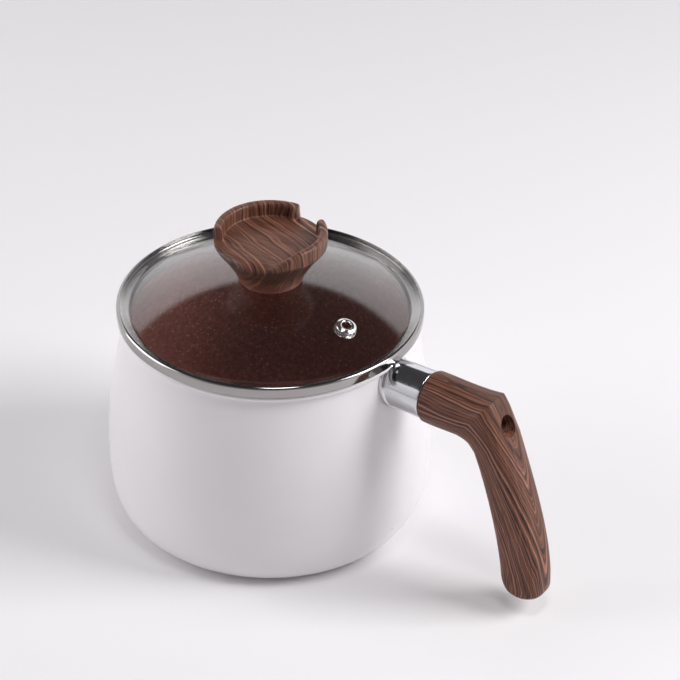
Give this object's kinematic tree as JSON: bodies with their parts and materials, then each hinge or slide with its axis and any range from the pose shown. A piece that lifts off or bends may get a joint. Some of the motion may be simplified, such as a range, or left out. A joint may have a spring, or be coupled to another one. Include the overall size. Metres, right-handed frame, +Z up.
{
  "type": "saucepan with lid",
  "caption": "Belly-shaped one-handled saucepan with a bent wood-grain grip and a domed glass lid with a steam vent and a spoon-rest knob.",
  "frame": {"origin": "centre of the flat base, on the surface the pan stands on", "axes": "+Z up along the pan's axis, +X from the pan's axis out along the handle, +Y to the left seen from the handle's tip"},
  "size_m": [0.2763, 0.183, 0.1799],
  "materials": {
    "pan_enamel": "satin",
    "stone_coat": "satin, fine pale speckle",
    "base_steel": "turned",
    "cast_aluminium": "as cast",
    "polished_metal": "polished",
    "dark_seal": "matt",
    "grip_woodgrain": "wood grain",
    "knob_woodgrain": "wood grain",
    "zinc_steel": "plated",
    "tempered_glass": "clear",
    "band_steel": "bright rolled",
    "insert_brass": "machined",
    "seat_silicone": "matt",
    "clear_silicone": "translucent"
  },
  "bodies": {
    "pan": {"pot_body": "pan_enamel", "nonstick_lining": "stone_coat", "induction_plate": "base_steel", "handle_boss": "cast_aluminium", "ferrule": "polished_metal", "ferrule_seal": "dark_seal", "handle_grip": "grip_woodgrain", "handle_screw": "zinc_steel", "handle_spring_washer": "zinc_steel", "handle_flat_washer": "zinc_steel"},
    "lid": {"lid_glass": "tempered_glass", "lid_band": "band_steel", "vent_eyelet": "band_steel", "vent_washer": "band_steel", "lid_knob": "knob_woodgrain", "knob_insert": "insert_brass", "knob_seat_ring": "seat_silicone", "knob_gasket": "clear_silicone", "knob_cup_washer": "band_steel", "knob_spring_washer": "zinc_steel", "knob_screw": "zinc_steel"}
  },
  "joints": [
    {"name": "lid_lift", "type": "slide", "parent": "pan", "child": "lid", "axis": [0, 0, 1], "range_m": [0, 0.11]}
  ]
}
